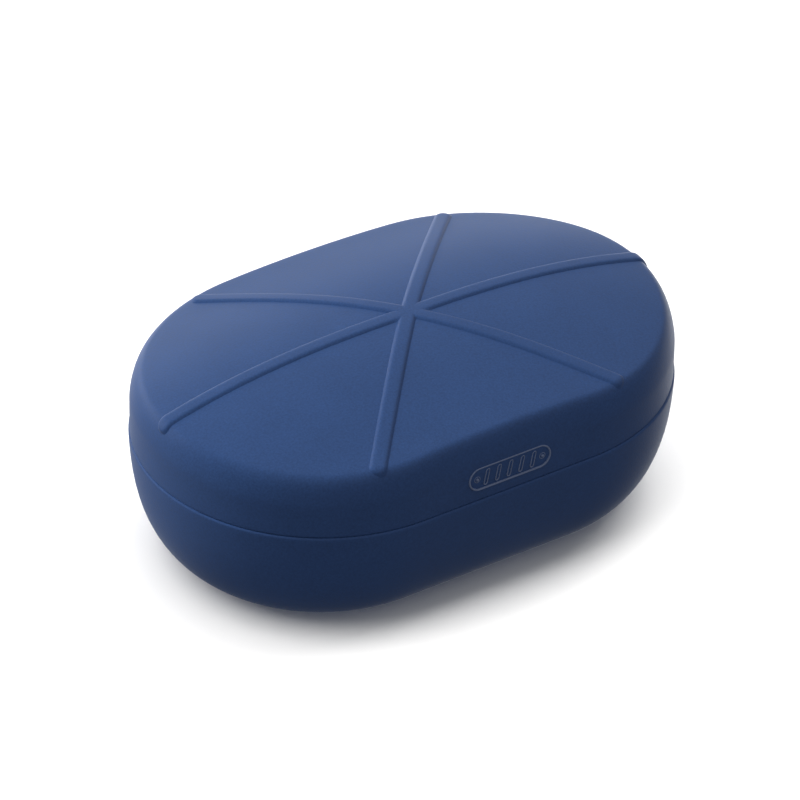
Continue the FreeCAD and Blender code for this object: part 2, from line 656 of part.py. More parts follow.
def usb_socket():
    body = new_body("usb_shell_body")
    mouth = new_sketch(body, "XZ_Plane", "usb_outer", lift="-Sizes.usb_back")
    outline(mouth, slot("0", USB_LEVEL, "Sizes.usb_wide / 2", "Sizes.usb_tall / 2"))
    pad(body, mouth, "Sizes.usb_deep")
    hollow = new_sketch(body, "XZ_Plane", "usb_inner", lift="-Sizes.usb_back")
    outline(hollow, slot("0", USB_LEVEL, "Sizes.usb_wide / 2 - Sizes.usb_wall",
                         "Sizes.usb_tall / 2 - Sizes.usb_wall"))
    pocket(body, hollow, "Sizes.usb_deep - 0.8", reverse=True)
    node(body, "usb_shell")
    back = "Sizes.usb_back - Sizes.usb_deep + 0.8"
    tongue = box("usb_blade", ("-3.35", back, f"{USB_LEVEL} - 0.35"),
                 ("3.35", "Sizes.usb_back - 1.2", f"{USB_LEVEL} + 0.35"))
    node(tongue, "usb_tongue")


def deck_electronics():
    """The small board under the deck with its switch and light, and the light's pipe."""
    body = new_body("deck_board_body")
    plate = new_sketch(body, "XY_Plane", "deck_board_outline", lift="Sizes.deck_board_low")
    outline(plate, block("-5.4", "-12.2", "5.4", "8.6"))
    pad(body, plate, "Sizes.deck_board_thick")
    node(body, "deck_board")
    top = "(Sizes.deck_board_low + Sizes.deck_board_thick)"
    place = "Sizes.button_place"
    case = box("switch_case", ("-1.5", f"{place} - 1.5", top), ("1.5", f"{place} + 1.5", "12.6"))
    dome = cylinder("switch_dome", "0", place, top, "0.7", f"12.74 - {top}")
    node(fuse("switch", [case, dome]), "tact_switch")
    lamp = box("lamp", ("-0.8", "Sizes.light_place - 0.4", top),
               ("0.8", "Sizes.light_place + 0.4", f"{top} + 0.5"))
    node(lamp, "status_led")
    foot = cylinder("pipe_foot", "0", "Sizes.light_place", f"{top} + 0.5", "1.3", "0.5")
    stem = cylinder("pipe_stem", "0", "Sizes.light_place", f"{top} + 0.5",
                    "Sizes.light_radius", f"Sizes.deck_top - {top} - 0.5")
    node(fuse("pipe", [foot, stem]), "light_pipe")


def pairing_button():
    body = new_body("pairing_button_body")
    under = "(Sizes.deck_top - Sizes.deck_thick)"
    for name, radius, low, high in (
            ("button_cap", "Sizes.button_radius", f"({under} - 0.3)", "Sizes.button_top"),
            ("button_flange", "Sizes.button_flange", f"({under} - 0.35)", f"{under} - 0.02"),
            ("button_nub", "0.8", "13", f"{under} - 0.3")):
        disc = new_sketch(body, "XY_Plane", name, lift=low)
        circle(disc, "0", "Sizes.button_place", radius)
        pad(body, disc, f"{high} - {low}")
    top = value("Sizes.button_top")
    fillet(body, lambda edge: lies_at(edge, top), "0.2")
    node(body, "pairing_button")


# ---- sprung charging contacts -------------------------------------------------------------------

def contact_set():
    """Four sprung pins: a barrel on the board, a spring in it and a plunger on the spring."""
    barrels = []
    flange_low = "(Sizes.neck_low - Sizes.flange_thick)"
    for number, (side, way) in enumerate(CONTACT_PLACES, 1):
        x, y = f"{side} * Sizes.pocket_middle", f"{way} * Sizes.contact_place"
        outer = cylinder("barrel", x, y, BOARD_TOP, "Sizes.barrel_radius",
                         f"Sizes.barrel_top - {BOARD_TOP}")
        bore = cylinder("barrel_bore", x, y, "Sizes.spring_low", "Sizes.barrel_bore",
                        "Sizes.neck_low - Sizes.spring_low")
        neck = cylinder("barrel_neck", x, y, "Sizes.spring_low", "Sizes.neck_bore", "4")
        barrels.append(cut("barrel_cut", outer, [bore, neck]))
        plunger = new_body(f"plunger_{number}")
        for name, radius, low, high in (
                ("flange", "Sizes.flange_radius", flange_low, "Sizes.neck_low"),
                ("tip", "Sizes.contact_radius", flange_low, "Sizes.contact_tip")):
            disc = new_sketch(plunger, "XY_Plane", f"{name}_{number}", lift=low)
            circle(disc, x, y, radius)
            pad(plunger, disc, f"{high} - {low}")
        top = value("Sizes.contact_tip")
        fillet(plunger, lambda edge: lies_at(edge, top), "0.3")
        node(plunger, f"contact_pin_{number}")
        contact_spring(number, x, y, flange_low)
    node(fuse("barrel_set", barrels), "contact_barrels")


def contact_spring(number, x, y, high):
    """A coil spring between the bottom of the barrel and the plunger's flange."""
    wire = "Sizes.spring_wire"
    coil = doc.addObject("Part::Helix", f"coil_{number}")
    coil.setExpression("Radius", "0.48")
    coil.setExpression("Height", f"{high} - Sizes.spring_low - {wire}")
    coil.setExpression("Pitch", f"({high} - Sizes.spring_low - {wire}) / 3")
    section = doc.addObject("Part::Circle", f"wire_{number}")
    section.Placement = FreeCAD.Placement(
        FreeCAD.Vector(0.48, 0, 0), FreeCAD.Rotation(FreeCAD.Vector(1, 0, 0), 90))
    section.setExpression("Radius", f"{wire} / 2")
    spring = doc.addObject("Part::Sweep", f"spring_{number}")
    spring.Sections = [section]
    spring.Spine = (coil, ["Edge1"])
    spring.Solid = True
    spring.Frenet = True
    for axis, text in zip("xyz", (x, y, f"Sizes.spring_low + {wire} / 2")):
        spring.setExpression(f"Placement.Base.{axis}", text)
    node(spring, f"contact_spring_{number}")


# ---- build, check and write ------------------------------------------------------------------

def build():
    lid_sleeve()
    lid_shell()
    lid_liner()
    closure_magnet("lid_magnet", "(Sizes.shell_lid_low + 0.5)")
    hinge_leaf("lid_hinge_leaf", 1, upwards=True)
    base_sleeve()
    base_shell()
    hinge_leaf("base_hinge_leaf", 0, upwards=False)
    hinge_pin()
    earbud_tray()
    closure_magnet("base_magnet", "(Sizes.deck_top - Sizes.deck_thick - 1.6)")
    earbud_magnets()
    main_board()
    board_chips()
    board_screws()
    battery()
    straps()
    usb_socket()
    deck_electronics()
    pairing_button()
    contact_set()
    doc.recompute()


def check_and_write():
    """Stop on any failed object, then write one file for each finished piece."""
    for item in doc.Objects:
        if {"Invalid", "Error"} & set(item.State):
            raise RuntimeError(f"{item.Name} has failed: {item.State}")
    os.makedirs("parts", exist_ok=True)
    for item in NODES:
        if item.Shape.isNull() or not item.Shape.isValid():
            raise RuntimeError(f"{item.Label} has no valid shape")
        item.Shape.exportStep(f"parts/{item.Label}.step")
        limits = item.Shape.optimalBoundingBox()
        print(f"{item.Label:18} {len(item.Shape.Solids)} solids {item.Shape.Volume:9.2f} mm3  "
              f"x {limits.XMin:.2f} {limits.XMax:.2f}  y {limits.YMin:.2f} {limits.YMax:.2f}  "
              f"z {limits.ZMin:.2f} {limits.ZMax:.2f}")


build()
check_and_write()
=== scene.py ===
import json
import math

import bmesh
import bpy
import numpy as np
from mathutils import Matrix, Vector


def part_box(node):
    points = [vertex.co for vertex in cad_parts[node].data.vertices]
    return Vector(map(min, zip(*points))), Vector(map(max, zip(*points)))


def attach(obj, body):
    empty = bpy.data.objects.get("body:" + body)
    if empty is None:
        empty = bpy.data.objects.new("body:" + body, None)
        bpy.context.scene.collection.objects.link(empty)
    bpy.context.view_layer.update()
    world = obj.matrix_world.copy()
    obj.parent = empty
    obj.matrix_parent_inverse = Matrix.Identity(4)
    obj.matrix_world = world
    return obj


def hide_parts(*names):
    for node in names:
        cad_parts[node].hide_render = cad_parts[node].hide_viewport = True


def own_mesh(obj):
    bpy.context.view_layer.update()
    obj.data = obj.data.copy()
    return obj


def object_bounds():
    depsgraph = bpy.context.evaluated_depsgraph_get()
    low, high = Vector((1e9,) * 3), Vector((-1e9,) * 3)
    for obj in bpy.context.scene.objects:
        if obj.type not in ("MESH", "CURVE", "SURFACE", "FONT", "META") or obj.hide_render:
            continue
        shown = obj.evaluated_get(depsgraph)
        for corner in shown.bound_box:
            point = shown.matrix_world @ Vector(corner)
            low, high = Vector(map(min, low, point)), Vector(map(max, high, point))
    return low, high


# Looks for the earbuds case: the silicone sleeve's two halves, the ribs and the thumb grip are
# modelled here in millimetres, and the hard case inside keeps its CAD shapes.

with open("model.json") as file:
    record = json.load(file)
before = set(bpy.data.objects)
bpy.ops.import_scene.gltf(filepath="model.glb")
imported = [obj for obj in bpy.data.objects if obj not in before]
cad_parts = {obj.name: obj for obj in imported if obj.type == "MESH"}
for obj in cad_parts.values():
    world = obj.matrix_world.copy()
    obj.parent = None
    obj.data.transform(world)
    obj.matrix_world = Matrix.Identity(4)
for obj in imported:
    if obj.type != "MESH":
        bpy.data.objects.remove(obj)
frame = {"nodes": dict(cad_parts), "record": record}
nodes = frame["nodes"]
cad_low, cad_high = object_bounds()

MM = 0.001
LID_LOW, LID_HIGH = (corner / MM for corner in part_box("lid_sleeve"))
BASE_LOW, BASE_HIGH = (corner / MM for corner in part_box("base_sleeve"))

# the outline is a stadium: a straight spine and a radius round it
RADIUS = LID_HIGH.y
SPINE = LID_HIGH.x - RADIUS
LID_BACK = 0.18                   # the lid's wall stands back from the base's rim
TOP = LID_HIGH.z - 0.43           # leaves room for the ribs
WALL = 1.8                        # the sleeve's thickness
INNER_CHAMFER = 0.12              # at the inner edge of each rim
CROWN_ALONG, CROWN_ACROSS = (2.95, 0.95), (5.169, -1.531)
EDGE_IN, EDGE_DOWN, EDGE_POWER = 1.962, 6.615, 2.451
INNER_DOWN = 4.0                  # depth of the same edge on the lid's inner skin
BOWL_IN, BOWL_DEEP, BOWL_POWER = 11.22, 18.51, 2.736


# ---- the sleeve's form ----------------------------------------------------------------

def crown(x, y):
    """Height of the lid's crowned top, before its edge turns down."""
    u, v = (x / (SPINE + RADIUS)) ** 2, (y / RADIUS) ** 2
    return (TOP - CROWN_ALONG[0] * u - CROWN_ALONG[1] * u * u
            - CROWN_ACROSS[0] * v - CROWN_ACROSS[1] * v * v)


def inset_at(x, y):
    """How far inside the outline a point lies in plan."""
    return RADIUS - np.hypot(np.maximum(np.abs(x) - SPINE, 0), y)


def edge_drop(inset):
    """How far the rounded edge has dropped at a distance inside the outline."""
    k = np.clip((EDGE_IN - inset) / EDGE_IN, 0, 1)
    return EDGE_DOWN * (1 - (1 - k ** EDGE_POWER) ** (1 / EDGE_POWER))


def lid_top(x, y):
    return crown(x, y) - edge_drop(inset_at(x, y))


def lid_normal(x, y, step=0.01):
    """Outward normal of the lid's top."""
    across = (lid_top(x + step, y) - lid_top(x - step, y)) / (2 * step)
    along = (lid_top(x, y + step) - lid_top(x, y - step)) / (2 * step)
    normal = np.stack([-across, -along, np.ones_like(across)], -1)
    return normal / np.linalg.norm(normal, axis=-1, keepdims=True)


def superellipse(turn, power):
    """How far along and how far up a unit superellipse lies at an angle in degrees."""
    turn = math.radians(turn)
    return math.cos(turn) ** (2 / power), math.sin(turn) ** (2 / power)


def quarter(turn):
    """Distances from the two sides of a unit corner that a round fillet has at an angle."""
    turn = math.radians(turn)
    return 1 - math.cos(turn), 1 - math.sin(turn)


def bowl_inset(height):
    """How far the wall has drawn in at a height."""
    u = np.clip((BOWL_DEEP - height) / BOWL_DEEP, 0, 1)
    return BOWL_IN * (1 - (1 - u ** BOWL_POWER) ** (1 / BOWL_POWER))


def ring_layout(per_end=72, per_side=30):
    """Spine point and outward direction of each point of a ring round the case."""
    spine, away = [], []
    for side in (1, -1):
        turn = np.linspace(-90, 90, per_end, endpoint=False) + (0 if side > 0 else 180)
        spine += [(side * SPINE, 0)] * per_end
        away += list(zip(np.cos(np.radians(turn)), np.sin(np.radians(turn))))
        spine += list(zip(np.linspace(side * SPINE, -side * SPINE, per_side, endpoint=False),
                          [0] * per_side))
        away += [(0, side)] * per_side
    return np.array(spine, float), np.array(away, float)


RING_SPINE, RING_AWAY = ring_layout()


def ring(inset, height):
    """One ring: height is a number or a function of x and y."""
    flat = RING_SPINE + RING_AWAY * (RADIUS - inset)
    z = height(flat[:, 0], flat[:, 1]) if callable(height) else np.full(len(flat), height)
    return np.column_stack([flat, z])


def make_mesh(name, points, faces, smooth_angle=35):
    """A closed mesh in millimetres, with coincident points welded."""
    mesh = bpy.data.meshes.new(name)
    mesh.from_pydata(np.asarray(points).tolist(), [], faces)
    shape = bmesh.new()
    shape.from_mesh(mesh)
    bmesh.ops.remove_doubles(shape, verts=shape.verts, dist=2e-4)
    bmesh.ops.dissolve_degenerate(shape, edges=shape.edges, dist=1e-5)
    bmesh.ops.recalc_face_normals(shape, faces=shape.faces)
    shape.to_mesh(mesh)
    shape.free()
    mesh.shade_smooth()
    mesh.set_sharp_from_angle(angle=math.radians(smooth_angle))
    piece = bpy.data.objects.new(name, mesh)
    bpy.context.scene.collection.objects.link(piece)
    return piece


def loft(name, loops, **options):
    """Faces between successive loops of equal length."""
    count = len(loops[0])
    faces = []
    for level in range(len(loops) - 1):
        low, high = level * count, (level + 1) * count
        for i in range(count):
            j = (i + 1) % count
            faces.append((low + i, low + j, high + j, high + i))
    return make_mesh(name, np.concatenate(loops), faces, **options)


def lid_cover():
    """The sleeve's upper half: crown, rounded edge, wall, rim and the skin inside."""
    rim, lip = LID_LOW.z - 0.09, 0.12
    loops = [ring(inset, crown) for inset in np.linspace(RADIUS, EDGE_IN, 22)[:-1]]
    for turn in np.linspace(90, 0, 22):
        out, up = superellipse(turn, EDGE_POWER)
        inset = EDGE_IN * (1 - out) + LID_BACK * max(out - 0.9, 0) * 10
        drop = EDGE_DOWN * (1 - up)
        lowest = rim + lip + 0.005 * turn
        loops.append(ring(inset, lambda x, y, drop=drop, lowest=lowest:
                          np.maximum(crown(x, y) - drop, lowest)))
    for turn in range(0, 91, 15):
        inward, short = quarter(turn)
        loops.append(ring(LID_BACK + lip * inward, rim + lip * short))
    loops += [ring(WALL - INNER_CHAMFER, rim), ring(WALL, rim + INNER_CHAMFER),
              ring(WALL, rim + 1.2)]
    for turn in np.linspace(0, 90, 10):
        out, up = superellipse(turn, EDGE_POWER)
        drop = WALL + INNER_DOWN * (1 - up)
        loops.append(ring(WALL + EDGE_IN * (1 - out),
                          lambda x, y, drop=drop: crown(x, y) - drop))
    loops += [ring(inset, lambda x, y: crown(x, y) - WALL)
              for inset in np.linspace(WALL + EDGE_IN, RADIUS, 12)[1:]]
    return loft("lid_cover", loops)


def base_cover():
    """The sleeve's lower half: a bowl with a rounded rim, and the skin inside."""
    rim, lip = BASE_HIGH.z + 0.16, 0.3
    rim_inset = bowl_inset(rim)
    loops = [ring(RADIUS, WALL), ring(RADIUS * 0.75, WALL)]
    start = math.degrees(math.asin(((BOWL_DEEP - rim + 0.7) / BOWL_DEEP) ** (BOWL_POWER / 2)))
    for turn in np.linspace(90, start, 20):
        out, up = superellipse(turn, BOWL_POWER)
        height = BOWL_DEEP * (1 - up)
        loops.append(ring(BOWL_IN * (1 - out) + WALL,
                          max(WALL + height * (rim - WALL) / rim, WALL)))
    loops += [ring(WALL + rim_inset, rim - INNER_CHAMFER),
              ring(WALL + rim_inset - INNER_CHAMFER, rim)]
    for turn in range(90, -1, -15):
        inward, short = quarter(turn)
        loops.append(ring(rim_inset + lip * inward, rim - lip * short))
    for turn in np.linspace(start, 90, 40):
        out, up = superellipse(turn, BOWL_POWER)
        loops.append(ring(BOWL_IN * (1 - out), BOWL_DEEP * (1 - up)))
    loops += [ring(BOWL_IN + 1.5, 0.0), ring(RADIUS * 0.8, 0.0), ring(RADIUS, 0.0)]
    return loft("base_cover", loops)


def cutter(name, half_wide, low, high, corner, near, far):
    """A block with rounded corners that goes through the back wall."""
    section = []
    for cx, cz, first in ((half_wide - corner, low + corner, -90),
                          (half_wide - corner, high - corner, 0),
                          (corner - half_wide, high - corner, 90),
                          (corner - half_wide, low + corner, 180)):
        for turn in np.radians(np.linspace(first, first + 90, 9)):
            section.append((cx + corner * math.cos(turn), cz + corner * math.sin(turn)))
    front = [(x, near, z) for x, z in section]
    back = [(x, far, z) for x, z in section]
    count = len(section)
    faces = [tuple(range(count)), tuple(range(2 * count - 1, count - 1, -1))]
    faces += [(i, i + count, (i + 1) % count + count, (i + 1) % count) for i in range(count)]
    return make_mesh(name, front + back, faces)


def cut(piece, tools, edge=0.2):
    """Cut the tools out of a piece and round the new edges a little."""
    for tool in tools:
        step = piece.modifiers.new("cut", "BOOLEAN")
        step.operation, step.object, step.solver = "DIFFERENCE", tool, "MANIFOLD"
    bevel = piece.modifiers.new("edge", "BEVEL")
    bevel.width, bevel.segments = edge, 3
    bevel.limit_method, bevel.angle_limit = "ANGLE", math.radians(55)
    bpy.context.view_layer.update()
    made = bpy.data.meshes.new_from_object(
        piece.evaluated_get(bpy.context.evaluated_depsgraph_get()))
    piece.modifiers.clear()
    piece.data = made
    made.materials.clear()
    made.shade_smooth()
    made.set_sharp_from_angle(angle=math.radians(35))
    for tool in tools:
        bpy.data.objects.remove(tool)


# ---- the ribs -------------------------------------------------------------------------

RIB_HALF = 1.0
RIB_ROUND = 0.9                   # radius of an arm's end
RIB_TAPER = 1.2                   # how much an arm's end slopes, against its sides
RIB_CENTRE = np.array([0.12, -0.49])
# each arm's direction, its length in plan, and how far its middle bows to the left
RIB_ARMS = ((-0.7, 32.4, 0.3), (47.6, 26.4, 0.0), (129.6, 25.9, -0.15), (179.2, 32.42, -0.2),
            (229.3, 25.6, 0.0), (309.7, 25.3, 0.05))
# profile across a rib: distance inside its edge, and height over the lid
RIB_PROFILE = [(RIB_HALF, -0.1), (-0.08, -0.1), (0.0, 0.0), (0.06, 0.05), (0.13, 0.11),
               (0.2, 0.165), (0.28, 0.21), (0.37, 0.242), (0.48, 0.26), (0.6, 0.267),
               (0.8, 0.27), (RIB_HALF, 0.27)]


def rib_arms():
    """Direction of each arm and a table from distance along the lid to distance in plan."""
    arms = []
    for turn, length, bow in RIB_ARMS:
        way = np.array([math.cos(math.radians(turn)), math.sin(math.radians(turn))])
        flat = np.linspace(0, length + 0.5, 1500)
        line = RIB_CENTRE + way * flat[:, None]
        rise = np.diff(lid_top(line[:, 0], line[:, 1]))
        travel = np.concatenate([[0], np.cumsum(np.hypot(np.diff(flat), rise))])
        arms.append((turn, way, flat, travel, np.interp(length, flat, travel), bow))
    return arms


def lid_ribs():
    """Six ribs that meet in the middle, each following the lid over its edge."""
    arms = rib_arms()
    loops = []
    for inside, lift in RIB_PROFILE:
        half = max(RIB_HALF - inside, 0)
        loop = []
        for i, (turn, way, flat, travel, end, bow) in enumerate(arms):
            before = (turn - arms[i - 1][0]) % 360 / 2
            after = (arms[(i + 1) % 6][0] - turn) % 360 / 2
            left = np.array([-way[1], way[0]])
            tip, round_end = end - RIB_TAPER * inside, min(half, RIB_ROUND)
            for gap, side in ((before, -1), (after, 1)):
                start = half / math.tan(math.radians(gap))
                spacing = 1 - (1 - np.linspace(0, 1, 60)) ** 1.4
                along = start + (tip - round_end - start) * spacing
                points = [(s, side * half) for s in along]
                for bend in np.radians(np.linspace(0, 90, 9))[1:]:
                    points.append((tip - round_end * (1 - math.sin(bend)),
                                   side * (half - round_end * (1 - math.cos(bend)))))
                if side > 0:
                    points.reverse()
                for s, offset in points:
                    loop.append(way * np.interp(s, travel, flat)
                                + left * (offset + bow * math.sin(math.pi * s / end)))
        loop = np.array(loop) + RIB_CENTRE
        x, y = loop[:, 0], loop[:, 1]
        loops.append(np.column_stack([loop, lid_top(x, y)]) + lid_normal(x, y) * lift)
    return loft("lid_ribs", loops, smooth_angle=50)


# ---- the thumb grip -------------------------------------------------------------------

GRIP_LEVEL = 18.35
LINE_HALF = (5.5, 1.5)            # half length and half height of the line round the grip
BAR_HALF, BAR_PITCH, BAR_LEAN = (1.04, 0.28), 1.55, 12
DOT_RADIUS, DOT_RING, DOT_PLACE = 0.2, 0.42, 4.35
# profile of a dot: distance inside its edge, and height over the wall
DOT_PROFILE = [(0.2, -0.06), (-0.01, -0.06), (0.0, 0.03), (0.03, 0.12), (0.07, 0.18),
               (0.12, 0.21), (0.16, 0.22), (0.2, 0.22)]


def front_wall(x, z, lift):
    """A point on the lid's front wall, lifted off it."""
    x, z = np.asarray(x, float), np.asarray(z, float)
    depth = np.linspace(0, 1, 400) ** 2
    heights = TOP - CROWN_ACROSS[0] - CROWN_ACROSS[1] - edge_drop(depth)
    inset = np.interp(z, heights, depth)
    slope = (np.interp(z + 0.05, heights, depth) - np.interp(z - 0.05, heights, depth)) / 0.1
    size = np.sqrt(1 + slope ** 2)
    return np.column_stack([x, inset + LID_BACK - RADIUS - lift / size,
                            z + lift * slope / size])


def pill(half_long, half_tall, count=24):
    """Outline of a slot shape, anticlockwise seen from the front."""
    points = []
    for side in (1, -1):
        for turn in np.radians(np.linspace(-90, 90, count) + (0 if side > 0 else 180)):
            points.append((side * (half_long - half_tall) + half_tall * math.cos(turn),
                           half_tall * math.sin(turn)))
    return np.array(points)


def raised(name, outline_at, profile, middle=(0, 0), lean=0.0):
    """A relief whose outline at each distance inside its edge is given by a function."""
    loops = []
    for inside, lift in profile:
        flat = outline_at(inside)
        x = flat[:, 0] + middle[0] + flat[:, 1] * math.tan(math.radians(lean))
        loops.append(front_wall(x, flat[:, 1] + middle[1] + GRIP_LEVEL, lift))
    return loft(name, loops, smooth_angle=60)


def bead(width, height):
    """Profile of a rounded line whose outer edge lies on its outline."""
    arc = [(width / 2 * (1 - math.cos(turn)), height * math.sin(turn) + 0.01)
           for turn in np.radians(np.linspace(0, 180, 9))]
    return [(0.0, -0.08)] + arc + [(width, -0.08), (0.0, -0.08)]


def thumb_grip():
    """A raised slot-shaped line round five leaning bars and two small ringed domes."""
    def slot(half_long, half_tall, count):
        return lambda inside: pill(half_long - inside, half_tall - inside, count)

    def upright(inside):
        return slot(*BAR_HALF, 10)(inside)[:, ::-1] * [1, -1]

    made = [raised("grip_line", slot(*LINE_HALF, 24), bead(0.23, 0.18))]
    for step in range(-2, 3):
        made.append(raised(f"grip_bar_{step + 3}", upright, bead(0.13, 0.13),
                           middle=(step * BAR_PITCH, 0), lean=BAR_LEAN))
    for side in (-1, 1):
        place = (side * DOT_PLACE, 0)
        made.append(raised(f"grip_dot_{side + 2}", slot(DOT_RADIUS, DOT_RADIUS, 14),
                           DOT_PROFILE, middle=place))
        made.append(raised(f"grip_ring_{side + 2}", slot(DOT_RING, DOT_RING, 14),
                           bead(0.1, 0.05), middle=place))
    return made


# ---- the contact springs --------------------------------------------------------------

SPRING_WIRE, SPRING_TURNS = 0.07, 3   # the wire's radius, and the coil's turns


def contact_spring(node):
    """A coil between the barrel's floor and the pin's flange, filling the spring part's box."""
    low, high = (np.array(corner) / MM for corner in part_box(node))
    wire, sides, steps = SPRING_WIRE, 12, 96
    full_turn = 2 * math.pi * SPRING_TURNS
    centre, coil = (low + high) / 2, (high[0] - low[0]) / 2 - wire
    rise = (high[2] - low[2] - 2 * wire) / full_turn
    round_wire = np.linspace(0, 2 * math.pi, sides, endpoint=False)[:, None]
    loops = []
    for angle in np.linspace(0, full_turn, steps + 1):
        out = np.array((math.cos(angle), math.sin(angle), 0))
        along = np.array((-coil * out[1], coil * out[0], rise))
        side = np.cross(out, along / np.linalg.norm(along))
        spot = np.array((centre[0], centre[1], low[2] + wire + rise * angle)) + coil * out
        loops.append(spot + wire * (np.cos(round_wire) * out + np.sin(round_wire) * side))
    ends = [np.repeat(loop.mean(axis=0)[None], sides, axis=0) for loop in (loops[0], loops[-1])]
    return loft(f"{node}_coil", [ends[0], *loops, ends[1]])


# ---- materials ------------------------------------------------------------------------

FINE_SHARE = 0.8                  # of the grain's two sizes in a finish's colour


def material(name, tones, grain, rough, bump, stretch=(1, 1, 1), **shader):
    """A finish whose colour, roughness and relief vary with a fine procedural grain.

    tones are two colours, grain is features per metre, rough is a range, bump is the relief's
    depth in metres, and stretch draws the grain out along an axis for brushed metal.
    """
    made = bpy.data.materials.new(name)
    made.use_nodes = True
    tree = made.node_tree
    add, link = tree.nodes.new, tree.links.new
    principled = tree.nodes["Principled BSDF"]
    for socket, setting in shader.items():
        principled.inputs[socket.replace("_", " ")].default_value = setting
    place = add("ShaderNodeTexCoord")
    scaled = add("ShaderNodeMapping")
    scaled.inputs["Scale"].default_value = stretch
    link(place.outputs["Object"], scaled.inputs["Vector"])

    def noise(scale, detail=2.0):
        found = add("ShaderNodeTexNoise")
        found.inputs["Scale"].default_value = scale
        found.inputs["Detail"].default_value = detail
        link(scaled.outputs["Vector"], found.inputs["Vector"])
        return found.outputs["Fac"]

    def spread(source, low, high):
        found = add("ShaderNodeMapRange")
        found.inputs["From Min"].default_value, found.inputs["From Max"].default_value = 0.3, 0.7
        found.inputs["To Min"].default_value, found.inputs["To Max"].default_value = low, high
        link(source, found.inputs["Value"])
        return found.outputs["Result"]

    broad, fine = noise(grain * 0.04, 3.0), noise(grain, 3.0)
    mixed = add("ShaderNodeMix")
    mixed.data_type = "RGBA"
    blend = add("ShaderNodeMath")
    blend.operation = "MULTIPLY_ADD"
    blend.inputs[1].default_value = FINE_SHARE
    link(spread(fine, 0, 1), blend.inputs[0])
    link(spread(broad, 0, 1 - FINE_SHARE), blend.inputs[2])
    link(blend.outputs[0], mixed.inputs["Factor"])
    for socket in mixed.inputs:
        if socket.type == "RGBA":
            socket.default_value = (*tones[0 if socket.name == "A" else 1], 1)
    link([s for s in mixed.outputs if s.type == "RGBA"][0], principled.inputs["Base Color"])
    link(spread(fine, *rough), principled.inputs["Roughness"])
    relief = add("ShaderNodeBump")
    relief.inputs["Distance"].default_value = bump
    relief.inputs["Strength"].default_value = 1.0
    link(fine, relief.inputs["Height"])
    link(relief.outputs["Normal"], principled.inputs["Normal"])
    return made


MATERIALS = {
    # a lighter copy of the silicone for the thumb grip's line, bars, dots and rings: a painted
    # highlight on reliefs that the lamps leave dark
    "silicone_painted_highlight": material(
        "silicone_painted_highlight", ((0.14, 0.18, 0.3), (0.18, 0.225, 0.37)), 7000, (0.42, 0.52), 1e-5,
        Specular_IOR_Level=0.4),
    "silicone": material(
        "silicone", ((0.0195, 0.0555, 0.168), (0.0285, 0.0775, 0.23)), 4200, (0.46, 0.56), 1.6e-5,
        Sheen_Weight=0.1, Sheen_Roughness=0.35, Sheen_Tint=(0.8, 0.86, 1.0, 1),
        Specular_IOR_Level=0.3),
    "shell_plastic": material(
        "shell_plastic", ((0.66, 0.66, 0.65), (0.71, 0.71, 0.7)), 2500, (0.1, 0.16), 5e-7,
        Coat_Weight=0.4, Coat_Roughness=0.05),
    "tray_plastic": material(
        "tray_plastic", ((0.64, 0.64, 0.63), (0.7, 0.7, 0.69)), 9000, (0.34, 0.42), 4e-6),
    "magnet_nickel": material(
        "magnet_nickel", ((0.58, 0.56, 0.52), (0.68, 0.66, 0.62)), 3000, (0.22, 0.34), 1e-6,
        Metallic=1.0),
    "hinge_steel": material(
        "hinge_steel", ((0.5, 0.5, 0.5), (0.62, 0.62, 0.61)), 3000, (0.24, 0.38), 2e-6,
        stretch=(0.06, 1, 1), Metallic=1.0),
    "circuit_board": material(
        "circuit_board", ((0.012, 0.05, 0.025), (0.03, 0.1, 0.05)), 1800, (0.3, 0.42), 8e-6,
        Coat_Weight=0.3),
    "chip_black": material(
        "chip_black", ((0.014, 0.014, 0.015), (0.024, 0.024, 0.025)), 12000, (0.5, 0.65), 4e-6),
    "screw_steel": material(
        "screw_steel", ((0.42, 0.42, 0.43), (0.55, 0.55, 0.55)), 6000, (0.2, 0.32), 1e-6,
        Metallic=1.0),
    "battery_foil": material(
        "battery_foil", ((0.42, 0.43, 0.45), (0.55, 0.56, 0.58)), 900, (0.26, 0.42), 5e-5,
        Metallic=0.9),
    "foam": material(
        "foam", ((0.03, 0.03, 0.03), (0.06, 0.06, 0.06)), 3500, (0.85, 0.95), 8e-5),
    "ribbon_film": material(
        "ribbon_film", ((0.3, 0.11, 0.02), (0.42, 0.18, 0.04)), 2600, (0.25, 0.38), 8e-6,
        stretch=(1, 0.05, 0.05)),
    "nickel_strip": material(
        "nickel_strip", ((0.6, 0.59, 0.56), (0.7, 0.69, 0.66)), 4000, (0.25, 0.4), 2e-6,
        stretch=(1, 0.1, 1), Metallic=1.0),
    "socket_steel": material(
        "socket_steel", ((0.5, 0.51, 0.52), (0.62, 0.63, 0.64)), 3500, (0.22, 0.34), 1e-6,
        stretch=(1, 0.08, 1), Metallic=1.0),
    "socket_plastic": material(
        "socket_plastic", ((0.016, 0.016, 0.017), (0.028, 0.028, 0.029)), 9000, (0.4, 0.5), 2e-6),
    "lamp_white": material(
        "lamp_white", ((0.8, 0.8, 0.72), (0.88, 0.88, 0.8)), 6000, (0.25, 0.35), 1e-6),
    "clear_plastic": material(
        "clear_plastic", ((0.85, 0.88, 0.9), (0.93, 0.95, 0.96)), 5000, (0.18, 0.28), 1e-6,
        Transmission_Weight=0.6),
    "button_plastic": material(
        "button_plastic", ((0.6, 0.6, 0.59), (0.67, 0.67, 0.66)), 8000, (0.28, 0.36), 2e-6),
    "gold_plate": material(
        "gold_plate", ((0.78, 0.52, 0.2), (0.86, 0.6, 0.27)), 8000, (0.16, 0.26), 5e-7,
        Metallic=1.0),
    "spring_steel": material(
        "spring_steel", ((0.45, 0.45, 0.46), (0.58, 0.58, 0.58)), 9000, (0.25, 0.35), 5e-7,
        Metallic=1.0),
}


